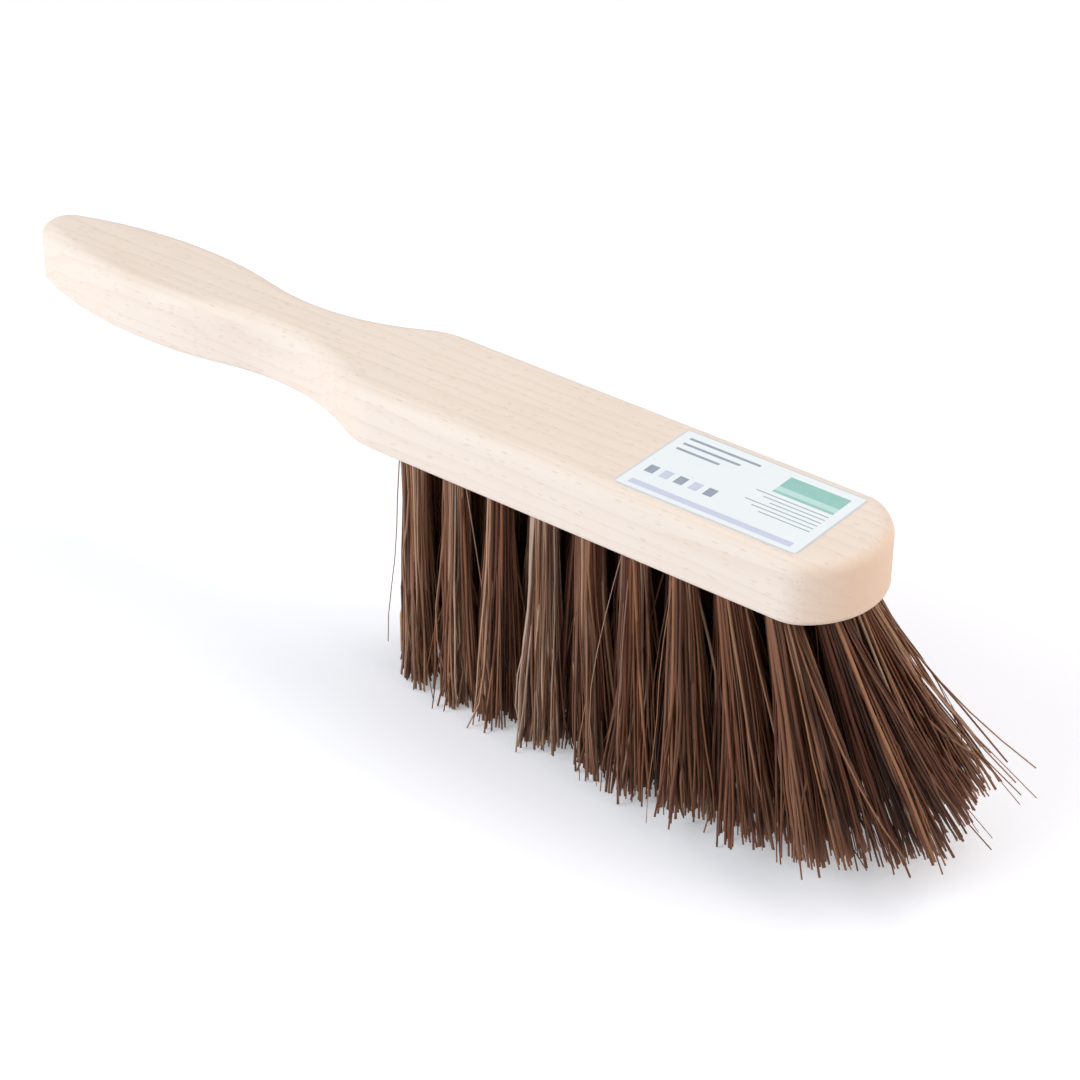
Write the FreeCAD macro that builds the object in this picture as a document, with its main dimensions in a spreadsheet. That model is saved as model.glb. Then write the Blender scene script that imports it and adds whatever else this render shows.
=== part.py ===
"""Wooden hand broom: a one-piece stock with a handle, stapled fibre tufts and a paper label.

The frame has +X towards the toe, +Y to the left of it and +Z up. The origin is on the
surface that the trimmed tips stand on, below the middle of the whole broom.
"""

import FreeCAD, Part
import math
import os
import Sketcher

from FreeCAD import Placement, Rotation, Vector

# Driving dimensions, in millimetres and degrees
SIZES = {
    # Outline of the stock, from the nose of the toe back to the tail of the handle
    "block_width": 42,
    "stock_thickness": 18.5,
    "toe_corner_radius": 11.5,
    "toe_bow": 4.8,
    "neck_from_toe": 195,
    "neck_width": 19,
    "shoulder_radius": 25,
    "neck_radius": 72,
    "neck_to_grip": 48,
    "grip_width": 30.5,
    "grip_to_tail": 49.5,
    "upper_edge_radius": 4,
    "lower_edge_radius": 2,
    # Bored holes, in staggered rows: an inner row has one tuft more than an outer one
    "tufts_per_outer_row": 9,
    "toe_to_outer_tuft": 19,
    "heel_tuft_to_neck": 56,
    "row_to_side": 6.5,
    "inner_row_spacing": 11.2,
    "hole_diameter": 7.5,
    "wood_over_hole": 6,
    # Fibre tufts
    "bristle_height": 72,
    "fibre_length": 72.5,
    "toe_trim": 9.5,
    "tuft_clearance": 0.05,
    "straight_below_mouth": 3,
    "tip_gap": 0.4,
    "toe_lean": 45.6,
    "fan_length": 34,
    "side_lean": 3,
    "toe_splay": 13.8,
    # Flat wire anchors that hold the folded fibres in the holes
    "anchor_bite": 1.6,
    "anchor_thickness": 0.6,
    "anchor_height": 2.4,
    # Paper label on the back
    "label_from_toe": 14.2,
    "label_length": 56.4,
    "label_side_margin": 0.4,
    "label_corner_radius": 2,
    "label_thickness": 0.15,
}

SHEET = "Dimensions"
ORIGIN_POINT = (-1, 1)
X_AXIS = -1
START, END, CENTRE = 1, 2, 3
TOLERANCE = 1e-6

doc = FreeCAD.newDocument("hand_broom")
sheet = doc.addObject("Spreadsheet::Sheet", SHEET)
for row, (name, number) in enumerate(SIZES.items(), start=1):
    sheet.set(f"A{row}", name)
    sheet.set(f"B{row}", str(number))
    sheet.setAlias(f"B{row}", name)
doc.recompute()


def size(name):
    """The number in the sheet's cell of that name."""
    return float(sheet.get(name))


def bind(item, **formulas):
    """Bind properties of an object to formulas, in which a bare name is a cell of the sheet."""
    for prop, formula in formulas.items():
        words = [f"{SHEET}.{word}" if word in SIZES else word for word in formula.split()]
        item.setExpression(prop, " ".join(words))


def primitive(kind, name, placement, **formulas):
    """A Part object of that kind, placed and bound to the sheet."""
    item = doc.addObject(kind, name)
    item.Placement = placement
    bind(item, **formulas)
    return item


def combine(kind, name, **members):
    """A Part boolean, loft or compound of other objects."""
    item = doc.addObject(kind, name)
    for prop, member in members.items():
        setattr(item, prop, member)
    return item


def origin_plane(body, role):
    """The origin plane of a body that has that role."""
    return next(plane for plane in body.Origin.OriginFeatures if plane.Role == role)


def base_sketch(body, name):
    """A sketch on the XY plane of a body."""
    sketch = body.newObject("Sketcher::SketchObject", name)
    sketch.AttachmentSupport = [(origin_plane(body, "XY_Plane"), "")]
    sketch.MapMode = "FlatFace"
    return sketch


def dimension(sketch, name, formula, *constraint):
    """A driving constraint that is bound to the sheet."""
    index = sketch.addConstraint(Sketcher.Constraint(*constraint))
    sketch.renameConstraint(index, name)
    bind(sketch, **{f"Constraints.{name}": formula})


def round_edges(body, name, radius_name, names):
    """A fillet on the named edges or faces of the body's last feature."""
    last_feature = body.Tip
    fillet = body.newObject("PartDesign::Fillet", name)
    fillet.Base = (last_feature, names)
    bind(fillet, Radius=radius_name)
    body.Tip = fillet
    doc.recompute()


def level_faces(shape, height):
    """Names of the faces that lie flat at one height."""
    names = []
    for number, face in enumerate(shape.Faces, start=1):
        box = face.BoundBox
        if max(abs(box.ZMin - height), abs(box.ZMax - height)) < TOLERANCE:
            names.append(f"Face{number}")
    return names


def arc(centre, radius, start, end):
    """An arc, anticlockwise between the directions of two points seen from its centre."""
    first, last = (math.atan2(p.y - centre.y, p.x - centre.x) for p in (start, end))
    return Part.ArcOfCircle(Part.Circle(centre, Vector(0, 0, 1), radius), first, last)


def towards(centre, other, distance):
    """The point at a distance from one centre on the line to another."""
    return centre + (other - centre).normalize() * distance


# Places that more than one piece shares

stock_length = size("neck_from_toe") + size("neck_to_grip") + size("grip_to_tail")
hole_radius = size("hole_diameter") / 2
hole_depth = size("stock_thickness") - size("wood_over_hole")
fold_height = hole_depth - hole_radius
outer_count = int(size("tufts_per_outer_row"))
inner_count = outer_count + 1
field_length = size("neck_from_toe") - size("heel_tuft_to_neck") - size("toe_to_outer_tuft")
pitch = field_length / (outer_count - 1)
outer_row = size("block_width") / 2 - size("row_to_side")
inner_row = size("inner_row_spacing") / 2
first_outer = size("toe_to_outer_tuft")
first_inner = first_outer - pitch / 2
ROWS = {
    "left_outer": (outer_row, first_outer, outer_count),
    "left_inner": (inner_row, first_inner, inner_count),
    "right_inner": (-inner_row, first_inner, inner_count),
    "right_outer": (-outer_row, first_outer, outer_count),
}


def heel_tip(side):
    """How far from the middle the tips of a row are, where the tufts don't fan out."""
    return side + size("bristle_height") * math.tan(math.radians(size("side_lean") * side / outer_row))


tip_spacings = [
    pitch,
    2 * heel_tip(inner_row),
    math.hypot(pitch / 2, heel_tip(outer_row) - heel_tip(inner_row)),
]
tip_radius = (min(tip_spacings) - size("tip_gap")) / 2


class TuftPlace:
    """Where one tuft starts, which way it points and where it ends: the toe's tufts fan out."""

    def __init__(self, from_toe, side):
        fan = math.exp(-from_toe / size("fan_length"))
        forward = math.radians(size("toe_lean") * fan)
        outward = math.radians((size("side_lean") + size("toe_splay") * fan) * side / outer_row)
        self.mouth = Vector(-from_toe, side, 0)
        self.direction = Vector(math.tan(forward), math.tan(outward), -1).normalize()
        free_length = size("fibre_length") - size("toe_trim") * fan
        self.reach = min(free_length, size("bristle_height") / -self.direction.z)

    def tip_turn(self):
        """The turn of the tip's face: square to its tuft, as far as the floor below allows."""
        tip_height = size("bristle_height") + self.direction.z * self.reach
        lean = math.acos(-self.direction.z)
        turn = math.asin(min(math.sin(lean), tip_height / tip_radius))
        return Rotation(self.direction.cross(Vector(0, 0, -1)), -math.degrees(turn))

    def tip(self):
        """Place of the tip's face, from the nose."""
        return Placement(self.mouth + self.direction * self.reach, self.tip_turn())

    def hole(self):
        """Place of the mouth, from the nose, with Z along the axis into the wood."""
        return Placement(self.mouth, Rotation(Vector(0, 0, 1), -self.direction))


toe_overhang = TuftPlace(first_inner, inner_row).tip().multVec(Vector(tip_radius, 0, 0)).x
nose = Vector((stock_length - toe_overhang) / 2, 0, size("bristle_height"))
at_nose = Placement(nose, Rotation())


# Wooden stock

def draw_half_outline(sketch):
    """The left half of the plan, from the nose at the sketch's origin back to the tail."""
    half_width = size("block_width") / 2
    corner, bow = size("toe_corner_radius"), size("toe_bow")
    shoulder, neck = size("shoulder_radius"), size("neck_radius")
    neck_half, grip_half = size("neck_width") / 2, size("grip_width") / 2
    rise, run = grip_half - neck_half, size("neck_to_grip")
    end_run = size("grip_to_tail")

    inset = half_width - corner
    front = (2 * corner * bow + bow**2 + inset**2) / (2 * bow)
    grip = (run**2 + rise**2) / (2 * rise) - neck
    grip_depth = grip - grip_half
    tail = (grip**2 - end_run**2 - grip_depth**2) / (2 * (grip - end_run))
    drop = half_width - neck_half
    shoulder_run = math.sqrt(2 * (shoulder + neck) * drop - drop**2)

    neck_x = -size("neck_from_toe")
    front_centre = Vector(-front, 0)
    corner_centre = Vector(-corner - bow, inset)
    shoulder_centre = Vector(neck_x + shoulder_run, half_width - shoulder)
    neck_centre = Vector(neck_x, neck_half + neck)
    grip_centre = Vector(neck_x - run, -grip_depth)
    tail_centre = Vector(tail - stock_length, 0)

    nose_point, tail_point = Vector(0, 0), Vector(-stock_length, 0)
    front_end = towards(front_centre, corner_centre, front)
    side_start = corner_centre + Vector(0, corner)
    side_end = shoulder_centre + Vector(0, shoulder)
    shoulder_end = towards(shoulder_centre, neck_centre, shoulder)
    neck_end = towards(neck_centre, grip_centre, neck)
    grip_end = towards(grip_centre, tail_centre, grip)

    front_id = sketch.addGeometry(arc(front_centre, front, nose_point, front_end))
    corner_id = sketch.addGeometry(arc(corner_centre, corner, front_end, side_start))
    side_id = sketch.addGeometry(Part.LineSegment(side_start, side_end))
    shoulder_id = sketch.addGeometry(arc(shoulder_centre, shoulder, side_end, shoulder_end))
    neck_id = sketch.addGeometry(arc(neck_centre, neck, neck_end, shoulder_end))
    grip_id = sketch.addGeometry(arc(grip_centre, grip, neck_end, grip_end))
    tail_id = sketch.addGeometry(arc(tail_centre, tail, grip_end, tail_point))
    middle_id = sketch.addGeometry(Part.LineSegment(tail_point, nose_point))
    widest_id = sketch.addGeometry(Part.Point(grip_centre + Vector(0, grip)), True)

    joints = [
        (front_id, END, corner_id, START),
        (corner_id, END, side_id, START),
        (side_id, END, shoulder_id, START),
        (shoulder_id, END, neck_id, END),
        (neck_id, START, grip_id, START),
        (grip_id, END, tail_id, START),
    ]
    for joint in joints:
        sketch.addConstraint(Sketcher.Constraint("Tangent", *joint))
    sketch.addConstraint(Sketcher.Constraint("Coincident", tail_id, END, middle_id, START))
    sketch.addConstraint(Sketcher.Constraint("Coincident", middle_id, END, front_id, START))
    sketch.addConstraint(Sketcher.Constraint("Coincident", front_id, START, *ORIGIN_POINT))
    sketch.addConstraint(Sketcher.Constraint("Horizontal", middle_id))
    sketch.addConstraint(Sketcher.Constraint("Horizontal", side_id))
    for round_end in (front_id, tail_id):
        sketch.addConstraint(Sketcher.Constraint("PointOnObject", round_end, CENTRE, X_AXIS))
    sketch.addConstraint(Sketcher.Constraint("PointOnObject", widest_id, START, grip_id))
    sketch.addConstraint(Sketcher.Constraint("Vertical", widest_id, START, grip_id, CENTRE))

    grip_from_toe = "neck_from_toe + neck_to_grip"
    dimension(sketch, "half_block", "block_width / 2",
              "DistanceY", *ORIGIN_POINT, side_id, START, half_width)
    dimension(sketch, "corner_radius", "toe_corner_radius", "Radius", corner_id, corner)
    dimension(sketch, "corner_place", "toe_corner_radius + toe_bow",
              "DistanceX", corner_id, CENTRE, *ORIGIN_POINT, corner + bow)
    dimension(sketch, "shoulder_round", "shoulder_radius", "Radius", shoulder_id, shoulder)
    dimension(sketch, "neck_round", "neck_radius", "Radius", neck_id, neck)
    dimension(sketch, "neck_place", "neck_from_toe",
              "DistanceX", neck_id, CENTRE, *ORIGIN_POINT, -neck_x)
    dimension(sketch, "half_neck", "neck_width / 2 + neck_radius",
              "DistanceY", *ORIGIN_POINT, neck_id, CENTRE, neck_half + neck)
    dimension(sketch, "grip_place", grip_from_toe,
              "DistanceX", grip_id, CENTRE, *ORIGIN_POINT, run - neck_x)
    dimension(sketch, "half_grip", "grip_width / 2",
              "DistanceY", *ORIGIN_POINT, widest_id, START, grip_half)
    dimension(sketch, "whole_length", f"{grip_from_toe} + grip_to_tail",
              "DistanceX", middle_id, START, middle_id, END, stock_length)


def make_plank():
    """The stock before boring: the plan outline padded, mirrored and rounded."""
    body = doc.addObject("PartDesign::Body", "plank")
    body.Placement = at_nose
    sketch = base_sketch(body, "half_outline")
    draw_half_outline(sketch)
    pad = body.newObject("PartDesign::Pad", "half_plank")
    pad.Profile = sketch
    bind(pad, Length="stock_thickness")
    doc.recompute()
    mirrored = body.newObject("PartDesign::Mirrored", "both_halves")
    mirrored.Originals = [pad]
    mirrored.MirrorPlane = (origin_plane(body, "XZ_Plane"), [""])
    mirrored.Refine = True
    body.Tip = mirrored
    doc.recompute()
    back_face = level_faces(body.Tip.Shape, size("stock_thickness"))
    round_edges(body, "upper_rounding", "upper_edge_radius", back_face)
    bristle_face = level_faces(body.Tip.Shape, 0)
    round_edges(body, "lower_rounding", "lower_edge_radius", bristle_face)
    return body


# Tufts, their holes and their anchors

def hemisphere(name, frame, radius_formula):
    """The round inner end of a hole, or of a tuft that is folded in it."""
    centre = frame * Placement(Vector(0, 0, fold_height), Rotation())
    dome = primitive("Part::Sphere", name, centre, Radius=radius_formula)
    dome.Angle1 = 0
    return dome


def make_anchor(name, frame):
    """A piece of flat wire across the hole, under the fold, with both ends in the wood."""
    half_length = hole_radius + size("anchor_bite")
    corner = Vector(-half_length, -size("anchor_thickness") / 2, fold_height - size("anchor_height"))
    return primitive(
        "Part::Box", f"anchor_{name}", frame * Placement(corner, Rotation()),
        Length="hole_diameter + 2 * anchor_bite", Width="anchor_thickness", Height="anchor_height",
    )


def make_hole(name, frame, anchor):
    """The round-nosed hole of one tuft, with the slots that its anchor bites."""
    below = size("hole_diameter")
    bore = primitive(
        "Part::Cylinder", f"bore_{name}", frame * Placement(Vector(0, 0, -below), Rotation()),
        Radius="hole_diameter / 2",
        Height="stock_thickness - wood_over_hole + hole_diameter / 2",
    )
    dome = hemisphere(f"bore_end_{name}", frame, "hole_diameter / 2")
    return combine("Part::MultiFuse", f"hole_{name}", Shapes=[bore, dome, anchor])


def make_tuft(name, frame, tip, anchor):
    """One tuft: fibres folded over the anchor, straight in the hole and flared to the tip."""
    below = size("straight_below_mouth")
    radius = "hole_diameter / 2 - tuft_clearance"
    neck_frame = frame * Placement(Vector(0, 0, -below), Rotation())
    shank = primitive(
        "Part::Cylinder", f"shank_{name}", neck_frame, Radius=radius,
        Height="stock_thickness - wood_over_hole - hole_diameter / 2 + straight_below_mouth",
    )
    fold = hemisphere(f"fold_{name}", frame, radius)
    neck_ring = primitive("Part::Circle", f"neck_ring_{name}", neck_frame, Radius=radius)
    tip_ring = doc.addObject("Part::Circle", f"tip_ring_{name}")
    tip_ring.Radius = tip_radius
    tip_ring.Placement = tip
    flare = combine("Part::Loft", f"flare_{name}", Sections=[neck_ring, tip_ring], Solid=True, Ruled=True)
    whole = combine("Part::MultiFuse", f"bundle_{name}", Shapes=[shank, fold, flare])
    return combine("Part::Cut", f"tuft_{name}", Base=whole, Tool=anchor)


def make_tufts():
    """Every tuft of the staggered rows, with its hole and anchor."""
    tufts, holes, anchors = [], [], []
    for row_name, (side, first, count) in ROWS.items():
        for column in range(count):
            name = f"{row_name}_{column + 1}"
            place = TuftPlace(first + pitch * column, side)
            frame = at_nose * place.hole()
            anchor = make_anchor(name, frame)
            anchors.append(anchor)
            holes.append(make_hole(name, frame, anchor))
            tufts.append(make_tuft(name, frame, at_nose * place.tip(), anchor))
    return tufts, holes, anchors


# Paper label

def make_label():
    """A thin paper rectangle on the flat of the back, near the toe."""
    body = doc.addObject("PartDesign::Body", "label")
    length = size("label_length")
    half_width = size("block_width") / 2 - size("upper_edge_radius") - size("label_side_margin")
    front_edge = Vector(-size("label_from_toe"), 0, size("stock_thickness"))
    body.Placement = at_nose * Placement(front_edge, Rotation())
    sketch = base_sketch(body, "label_outline")
    corners = [(0, -half_width), (0, half_width), (-length, half_width), (-length, -half_width)]
    for start, end in zip(corners, corners[1:] + corners[:1]):
        sketch.addGeometry(Part.LineSegment(Vector(*start), Vector(*end)))
    front, left, back, right = range(4)
    for first, second in ((front, left), (left, back), (back, right), (right, front)):
        sketch.addConstraint(Sketcher.Constraint("Coincident", first, END, second, START))
    for edge in (left, right):
        sketch.addConstraint(Sketcher.Constraint("Horizontal", edge))
    for edge in (front, back):
        sketch.addConstraint(Sketcher.Constraint("Vertical", edge))
    sketch.addConstraint(Sketcher.Constraint("Symmetric", front, START, front, END, *ORIGIN_POINT))
    dimension(sketch, "long_side", "label_length", "DistanceX", back, START, front, END, length)
    dimension(sketch, "short_side", "block_width - 2 * ( upper_edge_radius + label_side_margin )",
              "DistanceY", front, START, front, END, 2 * half_width)
    pad = body.newObject("PartDesign::Pad", "paper")
    pad.Profile = sketch
    bind(pad, Length="label_thickness")
    body.Tip = pad
    doc.recompute()
    edges = enumerate(pad.Shape.Edges, start=1)
    upright = [f"Edge{n}" for n, edge in edges if edge.BoundBox.ZLength > size("label_thickness") / 2]
    round_edges(body, "label_corners", "label_corner_radius", upright)
    return body


# Assembly, checks and files

plank = make_plank()
tufts, holes, anchors = make_tufts()
bored = combine("Part::Compound", "holes", Links=holes)
stock = combine("Part::Cut", "stock", Base=plank, Tool=bored)
anchor_set = combine("Part::Compound", "anchors", Links=anchors)
label = make_label()
doc.recompute()

for item in doc.Objects:
    if "Invalid" in item.State or "Error" in item.State:
        raise RuntimeError(f"{item.Label} failed: {item.State}")

sub_parts = [stock, anchor_set, label, *tufts]
for item in sub_parts:
    if item.Shape.isNull() or not item.Shape.isValid():
        raise RuntimeError(f"{item.Label} has no valid shape")

os.makedirs("parts", exist_ok=True)
for item in sub_parts:
    item.Shape.exportStep(f"parts/{item.Label}.step")
    print(item.Label, len(item.Shape.Solids), round(item.Shape.Volume, 1))
print("pitch", round(pitch, 3), "tip radius", round(tip_radius, 3), "nose", nose)
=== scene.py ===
"""Looks of a one-hand broom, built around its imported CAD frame.

The wooden stock, the wire anchors and the paper label keep their CAD nodes and get finishes of their own.
Each tuft node is replaced by a bundle of single fibres. Lengths are metres in the frame of the CAD model.
"""

import logging
import math
from dataclasses import dataclass
from enum import Enum

import bpy
import numpy as np
from mathutils import Matrix, Vector


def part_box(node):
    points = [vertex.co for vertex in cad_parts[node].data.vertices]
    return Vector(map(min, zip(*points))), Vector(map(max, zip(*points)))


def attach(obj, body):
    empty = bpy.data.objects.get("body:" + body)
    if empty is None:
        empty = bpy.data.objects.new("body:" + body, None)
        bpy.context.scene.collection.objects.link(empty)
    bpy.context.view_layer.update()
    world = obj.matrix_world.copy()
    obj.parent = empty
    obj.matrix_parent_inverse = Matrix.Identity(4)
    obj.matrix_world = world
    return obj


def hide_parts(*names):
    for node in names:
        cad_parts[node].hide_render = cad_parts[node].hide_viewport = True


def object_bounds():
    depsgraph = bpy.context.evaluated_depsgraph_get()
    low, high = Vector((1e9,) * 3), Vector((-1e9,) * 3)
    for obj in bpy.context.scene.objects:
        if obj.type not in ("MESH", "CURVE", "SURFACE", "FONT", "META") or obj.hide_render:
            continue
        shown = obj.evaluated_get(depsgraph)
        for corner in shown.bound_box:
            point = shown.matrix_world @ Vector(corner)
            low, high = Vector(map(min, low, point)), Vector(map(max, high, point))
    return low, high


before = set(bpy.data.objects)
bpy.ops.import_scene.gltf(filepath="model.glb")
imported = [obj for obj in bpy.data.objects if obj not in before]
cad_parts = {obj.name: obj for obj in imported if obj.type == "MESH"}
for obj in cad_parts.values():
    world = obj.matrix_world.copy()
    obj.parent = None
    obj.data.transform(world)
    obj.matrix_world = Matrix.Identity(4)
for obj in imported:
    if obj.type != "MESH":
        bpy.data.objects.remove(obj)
cad_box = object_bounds()

log = logging.getLogger("hand_broom")

Colour = tuple[float, float, float]
Pair = tuple[float, float]
Stops = tuple[tuple[float, Colour], ...]
Socket = bpy.types.NodeSocket

GOLDEN_ANGLE = math.pi * (3 - math.sqrt(5))
WHITE: Colour = (1.0, 1.0, 1.0)


class Slot(Enum):
    """A material slot name of the record, which no piece here takes."""

    FIBRE = "tuft_fibre"


class Side(Enum):
    """Sides of the broom, as the sign of Y."""

    LEFT = 1
    RIGHT = -1


class Rank(Enum):
    """Rows of tufts on one side."""

    OUTER = "outer"
    INNER = "inner"


class Recipe:
    """The nodes of one material, world or node group while they are laid out.

    The colour sockets of a Mix node share their names with those for numbers, so they go by their places.
    """

    mix_first = 6
    mix_second = 7
    mix_result = 2

    def __init__(self, tree: bpy.types.NodeTree) -> None:
        """Start on an empty tree."""
        self.tree = tree
        self.tree.nodes.clear()

    def add(self, kind: str, **settings: object) -> bpy.types.Node:
        """Add one node.

        Args:
            kind: The node's type name.
            settings: Properties to set on it.

        Returns:
            The new node.
        """
        node = self.tree.nodes.new(kind)
        for name, value in settings.items():
            setattr(node, name, value)
        return node

    def feed(self, socket: Socket, value: object) -> None:
        """Link a socket to another one, or set its own value.

        Args:
            socket: The input to feed.
            value: An output socket, a number or a tuple.
        """
        if isinstance(value, bpy.types.NodeSocket):
            self.tree.links.new(value, socket)
        elif isinstance(value, tuple) and socket.type == "RGBA":
            socket.default_value = (*value, 1.0)
        else:
            socket.default_value = value

    def fill(self, node: bpy.types.Node, *values: object, **named: object) -> bpy.types.Node:
        """Feed inputs of a node with sockets or plain values.

        Args:
            node: The node.
            values: What its inputs get, in order.
            named: What its inputs get by name, with underscores for blanks.

        Returns:
            The same node.
        """
        for socket, value in zip(node.inputs, values):
            self.feed(socket, value)
        for name, value in named.items():
            self.feed(node.inputs[name.replace("_", " ")], value)
        return node

    def calc(self, operation: str, *values: object) -> Socket:
        """The result of one Math node."""
        return self.fill(self.add("ShaderNodeMath", operation=operation), *values).outputs[0]

    def total(self, *values: object) -> Socket:
        """The sum of two values, kept in the range 0 to 1."""
        node = self.add("ShaderNodeMath", operation="ADD", use_clamp=True)
        return self.fill(node, *values).outputs[0]

    def divide(self, vector: Socket, sizes: object) -> Socket:
        """A vector divided by one size for each axis."""
        node = self.add("ShaderNodeVectorMath", operation="DIVIDE")
        return self.fill(node, vector, sizes).outputs[0]

    def split(self, vector: Socket) -> tuple[Socket, ...]:
        """The three parts of a vector."""
        return tuple(self.fill(self.add("ShaderNodeSeparateXYZ"), vector).outputs)

    def join(self, x: object, y: object, z: object) -> Socket:
        """A vector of three parts."""
        return self.fill(self.add("ShaderNodeCombineXYZ"), x, y, z).outputs[0]

    def rise(self, value: Socket, low: float, high: float) -> Socket:
        """A smooth step of a value, from 0 at low to 1 at high, which may lie below low."""
        node = self.add("ShaderNodeMapRange", interpolation_type="SMOOTHSTEP")
        return self.fill(node, value, low, high, 0.0, 1.0).outputs[0]

    def span(self, value: Socket, low: float, high: float) -> Socket:
        """Carry a value from the range 0 to 1 over to the range low to high."""
        return self.fill(self.add("ShaderNodeMapRange"), value, 0.0, 1.0, low, high).outputs[0]

    def mix(self, share: object, first: object, second: object) -> Socket:
        """Mix two colours.

        Args:
            share: How much of the second colour shows.
            first: A colour or its socket.
            second: A colour or its socket.

        Returns:
            The mixed colour's socket.
        """
        node = self.fill(self.add("ShaderNodeMix", data_type="RGBA"), share)
        self.feed(node.inputs[self.mix_first], first)
        self.feed(node.inputs[self.mix_second], second)
        return node.outputs[self.mix_result]

    def tint(self, colour: object, other: object, mask: Socket, share: object) -> Socket:
        """A colour with a share of another one over it where a mask shows."""
        return self.mix(self.calc("MULTIPLY", mask, share), colour, other)

    def noise(self, vector: Socket, detail: float, roughness: float) -> Socket:
        """Cloudy noise with features about one unit across."""
        node = self.add("ShaderNodeTexNoise")
        return self.fill(node, Vector=vector, Scale=1.0, Detail=detail, Roughness=roughness).outputs["Fac"]

    def ramp(self, value: Socket, stops: Stops) -> Socket:
        """A colour picked from a row of stops.

        Args:
            value: The place on the ramp.
            stops: Places and their colours, in order.

        Returns:
            The colour's socket.
        """
        node = self.fill(self.add("ShaderNodeValToRGB"), value)
        elements = node.color_ramp.elements
        while len(elements) < len(stops):
            elements.new(1.0)
        for element, (place, colour) in zip(elements, stops):
            element.position = place
            element.color = (*colour, 1.0)
        return node.outputs[0]

    def attribute(self, name: str) -> Socket:
        """A number that the piece's own mesh carries."""
        return self.add("ShaderNodeAttribute", attribute_name=name).outputs["Fac"]

    def object_place(self) -> Socket:
        """The place on the object, in metres."""
        return self.add("ShaderNodeTexCoord").outputs["Object"]

    def group(self, tree: bpy.types.NodeTree, *values: object) -> Socket:
        """The result of a node group, with its inputs in order."""
        return self.fill(self.add("ShaderNodeGroup", node_tree=tree), *values).outputs[0]

    def bump(self, height: Socket, depth: float, strength: float) -> Socket:
        """A normal that follows a height, where 1 stands for a depth in metres."""
        node = self.fill(self.add("ShaderNodeBump"), Strength=strength, Distance=depth, Height=height)
        return node.outputs["Normal"]

    def surface(self, **inputs: object) -> Socket:
        """The Principled shader, with its inputs by name."""
        return self.fill(self.add("ShaderNodeBsdfPrincipled"), **inputs).outputs[0]

    def light(self, strength: object) -> Socket:
        """A white glow of some strength."""
        return self.fill(self.add("ShaderNodeEmission"), Strength=strength).outputs[0]

    def blend(self, share: Socket, first: Socket, second: Socket) -> Socket:
        """Two shaders, mixed by the share of the second one."""
        return self.fill(self.add("ShaderNodeMixShader"), share, first, second).outputs[0]

    def finish(self, shader: Socket, kind: str = "ShaderNodeOutputMaterial") -> None:
        """Send a shader to the output."""
        self.feed(self.add(kind).inputs["Surface"], shader)


class SharedEffects:
    """Node groups that several finishes use."""

    streak_detail = 3.0
    streak_roughness = 0.55
    mottle_detail = 4.0
    mottle_roughness = 0.6
    ink_edge = 0.00006

    def __init__(self) -> None:
        """Build each group once."""
        self.long_streaks = self._long_streaks()
        self.fine_mottle = self._fine_mottle()
        self.printed_block = self._printed_block()

    @staticmethod
    def _open(name: str, output: str, *numbers: str) -> tuple[Recipe, dict[str, Socket]]:
        """An empty group that takes a place and some numbers and gives one number.

        Args:
            name: The group's name.
            output: The name of what it gives.
            numbers: The names of the numbers that it takes.

        Returns:
            Its recipe, and its inside sockets by name.
        """
        tree = bpy.data.node_groups.new(name, "ShaderNodeTree")
        tree.interface.new_socket("Place", in_out="INPUT", socket_type="NodeSocketVector")
        for number in numbers:
            tree.interface.new_socket(number, in_out="INPUT", socket_type="NodeSocketFloat")
        tree.interface.new_socket(output, in_out="OUTPUT", socket_type="NodeSocketFloat")
        recipe = Recipe(tree)
        entry = recipe.add("NodeGroupInput")
        return recipe, {socket.name: socket for socket in entry.outputs if socket.name}

    @staticmethod
    def _close(recipe: Recipe, result: Socket) -> bpy.types.NodeTree:
        """The finished group, which gives that result."""
        recipe.fill(recipe.add("NodeGroupOutput"), result)
        return recipe.tree

    def _long_streaks(self) -> bpy.types.NodeTree:
        """Noise drawn out along X: the place divided by a length along X and by a width across.

        Returns:
            The group.
        """
        recipe, given = self._open("long_streaks", "Streak", "Length", "Width")
        sizes = recipe.join(given["Length"], given["Width"], given["Width"])
        drawn = recipe.divide(given["Place"], sizes)
        return self._close(recipe, recipe.noise(drawn, self.streak_detail, self.streak_roughness))

    def _fine_mottle(self) -> bpy.types.NodeTree:
        """Cloudy noise of one size: the place divided by that size.

        Returns:
            The group.
        """
        recipe, given = self._open("fine_mottle", "Mottle", "Size")
        sizes = recipe.join(given["Size"], given["Size"], given["Size"])
        scaled = recipe.divide(given["Place"], sizes)
        return self._close(recipe, recipe.noise(scaled, self.mottle_detail, self.mottle_roughness))

    def _printed_block(self) -> bpy.types.NodeTree:
        """A rectangle's mask: 1 where both distances from its centre are under its half sizes.

        Returns:
            The group.
        """
        recipe, given = self._open("printed_block", "Mask", "Along", "Across", "Half Along", "Half Across")
        x, y, _ = recipe.split(given["Place"])
        parts = []
        for place, centre, half in ((x, "Along", "Half Along"), (y, "Across", "Half Across")):
            away = recipe.calc("ABSOLUTE", recipe.calc("SUBTRACT", place, given[centre]))
            inside = recipe.calc("SUBTRACT", given[half], away)
            parts.append(recipe.rise(inside, -self.ink_edge, self.ink_edge))
        return self._close(recipe, recipe.calc("MULTIPLY", *parts))


def new_material(name: str) -> tuple[bpy.types.Material, Recipe]:
    """An empty node material.

    Args:
        name: The material's name.

    Returns:
        The material and the recipe of its nodes.
    """
    material = bpy.data.materials.new(name)
    material.use_nodes = True
    return material, Recipe(material.node_tree)


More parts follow.
